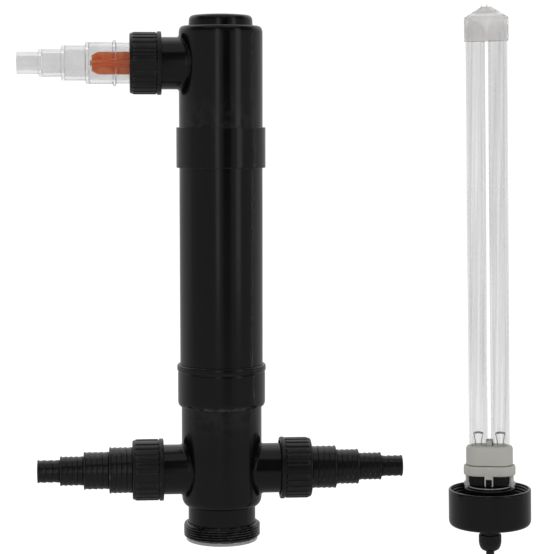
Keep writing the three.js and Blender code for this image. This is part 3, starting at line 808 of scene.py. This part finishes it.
def make_lamp():
    half = 9.45
    base = [
        (0.5, 68.6), (11.2, 68.6, 0.3), (11.9, 69.2, 0.4), (11.9, 83.6, 0.9), (11.3, 85.5, 0.9),
        (9.6, 86.5, 0.7), (0.5, 86.5),
    ]
    bumps = [slab((4.8, 1.4, 5.4), (0, side * 4.9, 88.7), 0.4) for side in (-1, 1)]
    bumps.append(slab((2, 9, 5.2), (0, 0, 88.6), 0.4))
    piece("lamp_base_body", both(slot_shape(half, base), *bumps), WHITE, "lamp", UNIT, ("lamp_base",))

    def capsule(r, low, dome, x):
        wall = [(0, low), (r, low)]
        wall += [(r * math.cos(a), dome + r * math.sin(a)) for a in [math.pi * k / 24 for k in range(12)]]
        return moved(revolved(wall + [(0, dome + r)], 56), Matrix.Translation((x, 0, 0)))

    def solid(name, shapes):
        """Shapes joined by Blender's exact boolean, as vertices and faces."""
        made = None
        for i, (verts, faces) in enumerate(shapes):
            mesh = bpy.data.meshes.new(name)
            mesh.from_pydata(verts, [], faces)
            part = bpy.data.objects.new(name, mesh)
            bpy.context.scene.collection.objects.link(part)
            fix = bmesh.new()
            fix.from_mesh(mesh)
            bmesh.ops.recalc_face_normals(fix, faces=fix.faces)
            fix.to_mesh(mesh)
            fix.free()
            if made is None:
                made = part
                continue
            join = made.modifiers.new("join", "BOOLEAN")
            join.operation = "UNION"
            join.solver = "EXACT"
            join.object = part
            depsgraph = bpy.context.evaluated_depsgraph_get()
            mesh = bpy.data.meshes.new_from_object(made.evaluated_get(depsgraph))
            bpy.data.objects.remove(made)
            bpy.data.objects.remove(part)
            made = bpy.data.objects.new(name, mesh)
            bpy.context.scene.collection.objects.link(made)
        verts = [tuple(v.co) for v in made.data.vertices]
        faces = [list(p.vertices) for p in made.data.polygons]
        bpy.data.objects.remove(made)
        return verts, faces

    def u_tube(r, low, bridge):
        across = Matrix.Translation((0, 0, 458)) @ Matrix.Rotation(math.pi / 2, 4, "Y")
        bar = moved(revolved([(0, -TUBE_X), (bridge, -TUBE_X), (bridge, TUBE_X), (0, TUBE_X)], 40),
                    across)
        return solid("join", [capsule(r, low, TUBE_DOME, -TUBE_X), bar,
                              capsule(r, low, TUBE_DOME, TUBE_X)])

    outer = u_tube(TUBE_R, 77.3, 4.6)
    verts, faces = u_tube(TUBE_BORE, 78.2, 3.8)
    glass = piece("lamp_tubes", outer, QUARTZ, "lamp", UNIT, ("lamp_glass",), 50)
    start = len(glass.data.vertices)
    shell = bmesh.new()
    shell.from_mesh(glass.data)
    inside = [shell.verts.new(UNIT @ Vector(v)) for v in verts]
    made = [shell.faces.new([inside[i] for i in face]) for face in faces]
    bmesh.ops.recalc_face_normals(shell, faces=made)
    bmesh.ops.reverse_faces(shell, faces=made)
    shell.to_mesh(glass.data)
    shell.free()
    glass.data.shade_smooth()
    glass.data.set_sharp_from_angle(angle=math.radians(50))

    skirt = [(9.85, 453.6, 0.3), (9.85, 475.2, 1.2), (8.4, 475.8, 0.4), (8.4, 474.2), (8.95, 473.6),
             (8.95, 453.6, 0.3)]
    roof_verts, roof_faces = [], []
    around = directions(48, TUBE_X)
    for t in range(7):
        f = t / 6
        for shift, c, s in around:
            roof_verts.append((shift * (1 - f) + (3.4 if shift > 0 else -3.4) * f * (1 if shift else 0),
                               9.4 * s * (1 - f) + 0.8 * s * f, 475.2 + 9.3 * f))
            x = roof_verts[-1][0] + 9.4 * c * (1 - f) + 0.8 * c * f
            roof_verts[-1] = (x, roof_verts[-1][1], roof_verts[-1][2])
    count = len(around)
    for t in range(6):
        for k in range(count):
            n = (k + 1) % count
            roof_faces.append([t * count + k, t * count + n, (t + 1) * count + n, (t + 1) * count + k])
    roof_faces += [list(range(count)), list(range(6 * count, 7 * count))]
    nibs = []
    for x, y, top, thick in ((0.6, 0, 486.6, 1.9), (-4.2, 0.3, 486.3, 1.1)):
        nib = revolved(soften([(0, 482), (thick, 482, 0.3), (0.4, top - 0.1, 0.3), (0, top)]), 16)
        nibs.append(moved(nib, Matrix.Translation((x, y, 0))))
    piece("tip_cap_body", both(slot_shape(TUBE_X, skirt, 72, True), (roof_verts, roof_faces), *nibs),
          FROST, "lamp", UNIT, ("lamp_tip_cap",))

    for side, x in (("left", -TUBE_X), ("right", TUBE_X)):
        wires = []
        for s in (-1, 1):
            run = [(1.8, 78.6), (2.1, 83), (2.5, 87), (3.0, 91), (3.6, 94.6), (4.2, 96.7), (4.1, 97.9),
                   (3.5, 98.1), (3.2, 97.4)]
            wires.append(swept(smooth([(x + s * dx, 0, z) for dx, z in run], 5), 0.4, 10))
        coil = [(x - 3.5 + 7 * k / 168, 0.75 * math.cos(TAU * k / 12),
                 97.6 + 0.75 * math.sin(TAU * k / 12) + 0.6 * math.sin(math.pi * k / 168))
                for k in range(169)]
        wires.append(swept(coil, 0.32, 6))
        pinch = slab((5.4, 1.6, 5), (x, 0, 81), 0.5)
        piece("filament_wires_" + side, both(*wires, pinch), STEEL, "lamp", UNIT, ("filament_" + side,))
    for i, n in enumerate((-1.5, -0.5, 0.5, 1.5)):
        pin = revolved(soften([(0, 60.8), (1.15, 60.8, 0.6), (1.15, 72.6), (0, 72.6)]), 20)
        piece("pin_%d" % (i + 1), moved(pin, Matrix.Translation((n * 11, 0, 0))), STEEL, "lamp", UNIT,
              ("contact_pin_%d" % (i + 1),))


def make_gland():
    body = revolved(soften([(4.1, -5, 0.2), (7.9, -5, 0.3), (7.9, 3.8), (10.2, 3.8, 0.5),
                            (10.2, 11.6, 0.4), (4.1, 11.6, 0.2)], True), 72, True, hexed)
    piece("gland_hex", body, PVC, "lamp_unit", UNIT, ("gland_body",))
    seal = soften([(3.95, -8.6, 0.5), (5.6, -8.6, 0.5), (5.6, 8.6, 0.4), (3.95, 8.6, 0.4)], True)
    piece("gland_insert", revolved(seal, 40, True), RUBBER, "lamp_unit", UNIT, ("gland_seal",))
    dome = [
        (4.15, -11.6, 0.4), (5.4, -11.8, 0.6), (8.3, -10.1, 1.6), (9.8, -7.1, 1.8), (10.4, -3.6, 1.2),
        (10.4, 3.4, 0.5), (8.3, 3.4, 0.2), (8.3, -6.2), (5.9, -9), (4.15, -9.2),
    ]
    piece("gland_cap_nut", revolved(soften(dome, True), 144, True, gland_grip), RIBBED, "gland_cap", UNIT,
          ("gland_nut",))


FLAT = 0.89  # a hexagon's flat over its corner


def hexed(r, z, angle):
    if r < 9:
        return r
    turn = (angle + math.pi / 6) % (math.pi / 3) - math.pi / 6
    return r * FLAT / max(FLAT, math.cos(turn))


def gland_grip(r, z, angle):
    if r < 9.4 or not -3.4 < z < 3.2:
        return r
    return r - 0.5 * max(0, math.cos(18 * angle)) ** 2


make_reactor()
make_neck()
make_unions()
make_indicator()
make_cap()
make_seat()
make_holder()
make_lamp()
make_gland()


# ---- floor and light ----
# What reflections see: grey walls and floor, darker overhead, and a dark gap on the front side.
GREY_ROOM, PALE_ROOM, DARK_ROOM, LIT_ROOM = (0.25,) * 3, (0.55,) * 3, (0.035,) * 3, (0.8,) * 3
GREY_FLOOR, PALE_FLOOR, DARK_FLOOR = (0.25,) * 3, (0.5,) * 3, (0.09,) * 3
GAP_MIDDLE, GAP_HALF = -0.24, 0.2  # the gap's directions, as X over Y
# What the camera and glass see.
FLOOR_SIZE, FLOOR_TONE, FLOOR_GLOW = 14, (0.62,) * 3, 0.54


def gap(tree, split):
    """1 in the dark gap of the studio, in front of the reactor and a little to its right."""
    ratio = node(tree, "ShaderNodeMath", operation="DIVIDE")
    tree.links.new(split.outputs["X"], ratio.inputs[0])
    tree.links.new(split.outputs["Y"], ratio.inputs[1])
    inside = node(tree, "ShaderNodeMath", operation="COMPARE")
    tree.links.new(ratio.outputs[0], inside.inputs[0])
    inside.inputs[1].default_value = GAP_MIDDLE
    inside.inputs[2].default_value = GAP_HALF
    front = node(tree, "ShaderNodeMath", operation="LESS_THAN")
    tree.links.new(split.outputs["Y"], front.inputs[0])
    front.inputs[1].default_value = 0
    both_true = node(tree, "ShaderNodeMath", operation="MULTIPLY")
    tree.links.new(inside.outputs[0], both_true.inputs[0])
    tree.links.new(front.outputs[0], both_true.inputs[1])
    return both_true.outputs[0]


def make_stage():
    low = cad_box[0][2]
    mesh = bpy.data.meshes.new("floor")
    size = FLOOR_SIZE
    mesh.from_pydata([(-size, -size, low), (size, -size, low), (size, size, low), (-size, size, low)], [],
                     [[0, 1, 2, 3]])
    floor = bpy.data.objects.new("floor", mesh)
    bpy.context.scene.collection.objects.link(floor)
    paper = bpy.data.materials.new("floor_paper")
    paper.use_nodes = True
    shader = paper.node_tree.nodes["Principled BSDF"]
    shader.inputs["Roughness"].default_value = 0.9
    shader.inputs["Specular IOR Level"].default_value = 0.1
    shader.inputs["Emission Color"].default_value = (1, 1, 1, 1)
    tree = paper.node_tree
    coords = node(tree, "ShaderNodeTexCoord")
    split = node(tree, "ShaderNodeSeparateXYZ")
    tree.links.new(coords.outputs["Object"], split.inputs[0])
    behind = blend(tree, spread(tree, split.outputs["Y"], 0, 1, -0.4, 1.6), GREY_FLOOR, PALE_FLOOR)
    shade = node(tree, "ShaderNodeMath", operation="MULTIPLY")
    tree.links.new(gap(tree, split), shade.inputs[0])
    tree.links.new(spread(tree, split.outputs["Y"], 1, 0, -4, -1.4), shade.inputs[1])
    behind = blend(tree, shade.outputs[0], behind, DARK_FLOOR)
    gloss = mirrored(tree)
    tree.links.new(blend(tree, gloss, FLOOR_TONE, behind), shader.inputs["Base Color"])
    tree.links.new(spread(tree, gloss, FLOOR_GLOW, 0, 0, 1), shader.inputs["Emission Strength"])
    mesh.materials.append(paper)


def area(name, at, aim, size, power):
    light = bpy.data.lights.new(name, "AREA")
    light.shape = "RECTANGLE"
    light.size, light.size_y = size
    light.energy = power
    made = bpy.data.objects.new(name, light)
    made.location = at
    made.rotation_euler = (Vector(aim) - Vector(at)).to_track_quat("-Z", "Y").to_euler()
    bpy.context.scene.collection.objects.link(made)


def make_world():
    world = bpy.data.worlds.new("studio")
    bpy.context.scene.world = world
    world.use_nodes = True
    tree = world.node_tree
    tree.nodes.clear()
    coords = node(tree, "ShaderNodeTexCoord")
    split = node(tree, "ShaderNodeSeparateXYZ")
    tree.links.new(coords.outputs["Generated"], split.inputs[0])
    walls = blend(tree, spread(tree, split.outputs["Y"], 0, 1, -0.2, 1), GREY_ROOM, PALE_ROOM)
    walls = blend(tree, gap(tree, split), walls, (0.0, 0.0, 0.0))
    above = blend(tree, spread(tree, split.outputs["Y"], 0, 1, 0.0, 0.6), DARK_ROOM, LIT_ROOM)
    room = blend(tree, spread(tree, split.outputs["Z"], 0, 1, 0.12, 0.34), walls, above)
    direct = node(tree, "ShaderNodeLightPath")
    open_sky = blend(tree, direct.outputs["Is Diffuse Ray"], (1.05, 1.05, 1.05), (0.8, 0.8, 0.8))
    tone = blend(tree, mirrored(tree), open_sky, room)
    sky = node(tree, "ShaderNodeBackground")
    tree.links.new(tone, sky.inputs["Color"])
    out = node(tree, "ShaderNodeOutputWorld")
    tree.links.new(sky.outputs[0], out.inputs["Surface"])


make_stage()
make_world()
area("top_box", (0, -0.2, 4.5), (0, 0, 0), (7, 7), 55)
area("left_box", (-0.42, -1.96, 0.5), (0, 0, 0.2), (0.34, 1.5), 0.9)
area("right_box", (1.42, -1.42, 0.5), (0, 0, 0.2), (0.5, 1.5), 1.3)
bpy.context.scene.view_settings.view_transform = "Standard"
